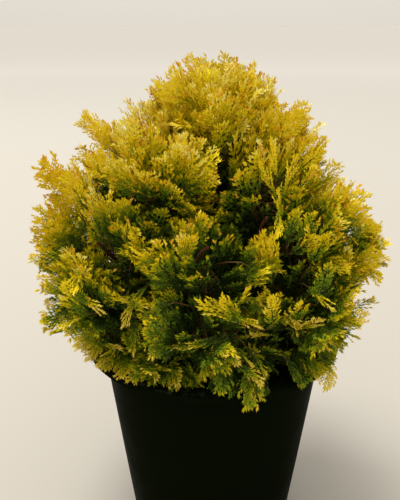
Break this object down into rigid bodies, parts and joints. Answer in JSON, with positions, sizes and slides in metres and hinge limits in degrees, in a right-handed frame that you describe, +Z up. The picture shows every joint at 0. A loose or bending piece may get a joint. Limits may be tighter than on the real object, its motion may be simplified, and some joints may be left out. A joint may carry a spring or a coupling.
{
  "type": "potted dwarf golden conifer shrub",
  "caption": "Dwarf golden Lawson cypress with a dense rounded cone of upright flat sprays, in a tapering round black plastic nursery pot.",
  "frame": {"origin": "middle of the flat underside of the pot, on the ground", "axes": "+Z up along the pot's axis, -Y towards the viewer of the picture, +X to the viewer's right"},
  "size_m": [0.3567, 0.3205, 0.4836],
  "materials": {
    "pot_plastic": "satin black moulded plastic",
    "potting_mix": "damp dark bark and peat mix",
    "bark": "thin reddish brown fibrous bark",
    "foliage": "soft scale foliage, golden at the tips and green within"
  },
  "bodies": {
    "root": {"pot": "pot_plastic", "potting_mix": "potting_mix", "trunk": "bark", "bough_skirt_1": "bark", "bough_skirt_2": "bark", "bough_skirt_3": "bark", "bough_skirt_4": "bark", "bough_skirt_5": "bark", "bough_skirt_6": "bark", "bough_skirt_7": "bark", "bough_lower_1": "bark", "bough_lower_2": "bark", "bough_lower_3": "bark", "bough_lower_4": "bark", "bough_lower_5": "bark", "bough_lower_6": "bark", "bough_lower_7": "bark", "bough_lower_8": "bark", "bough_middle_1": "bark", "bough_middle_2": "bark", "bough_middle_3": "bark", "bough_middle_4": "bark", "bough_middle_5": "bark", "bough_middle_6": "bark", "bough_middle_7": "bark", "foliage_skirt_1": "foliage", "foliage_skirt_2": "foliage", "foliage_skirt_3": "foliage", "foliage_skirt_4": "foliage", "foliage_skirt_5": "foliage", "foliage_skirt_6": "foliage", "foliage_skirt_7": "foliage", "foliage_lower_1": "foliage", "foliage_lower_2": "foliage", "foliage_lower_3": "foliage", "foliage_lower_4": "foliage", "foliage_lower_5": "foliage", "foliage_lower_6": "foliage", "foliage_lower_7": "foliage", "foliage_lower_8": "foliage", "foliage_middle_1": "foliage", "foliage_middle_2": "foliage", "foliage_middle_3": "foliage", "foliage_middle_4": "foliage", "foliage_middle_5": "foliage", "foliage_middle_6": "foliage", "foliage_middle_7": "foliage", "foliage_upper_1": "foliage", "foliage_upper_2": "foliage", "foliage_upper_3": "foliage", "foliage_upper_4": "foliage", "foliage_upper_5": "foliage", "foliage_crown_1": "foliage", "foliage_crown_2": "foliage", "foliage_crown_3": "foliage", "foliage_leader": "foliage"}
  },
  "joints": []
}
